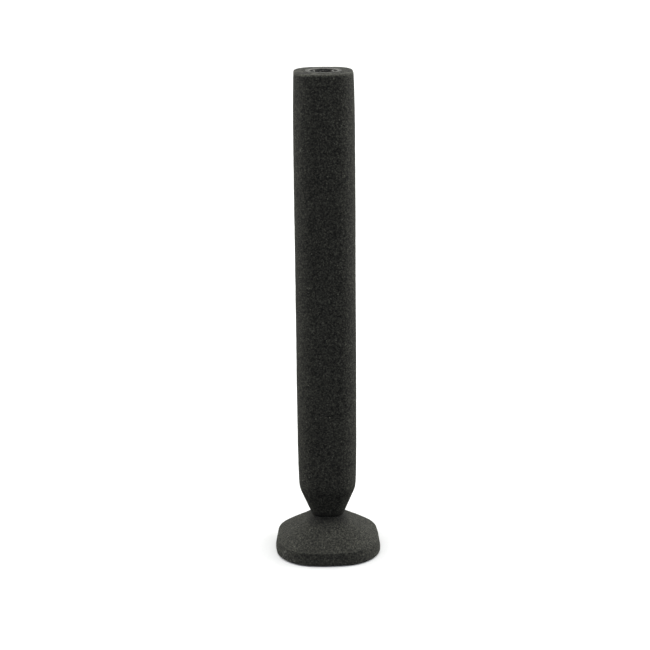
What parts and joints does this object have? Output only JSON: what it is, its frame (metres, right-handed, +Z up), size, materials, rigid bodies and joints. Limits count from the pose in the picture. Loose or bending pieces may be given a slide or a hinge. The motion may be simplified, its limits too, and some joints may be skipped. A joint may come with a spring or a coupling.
{
  "type": "incense burner",
  "caption": "Tall soft-square cast column tapering to a neck on a domed foot, with a lift-out steel cup of lava grit in its mouth for an incense stick or cone.",
  "frame": {"origin": "on the resting plane, under the middle of the foot", "axes": "+Z up along the column, +X and +Y square to the flat sides of the foot and the column"},
  "size_m": [0.0656, 0.0656, 0.3],
  "materials": {
    "cast_black": "matte",
    "plated_steel": "satin",
    "rubber": "matte",
    "cup_steel": "satin",
    "lava_grit": "matte"
  },
  "bodies": {
    "burner": {"foot": "cast_black", "column": "cast_black", "tie_stud": "plated_steel", "plain_washer": "plated_steel", "spring_washer": "plated_steel", "tie_nut": "plated_steel", "base_pad": "rubber"},
    "cup": {"grit_cup": "cup_steel", "grit_bed": "lava_grit"}
  },
  "joints": [
    {"name": "cup_lift", "type": "slide", "parent": "burner", "child": "cup", "axis": [0, 0, 1], "range_m": [0, 0.045]}
  ]
}
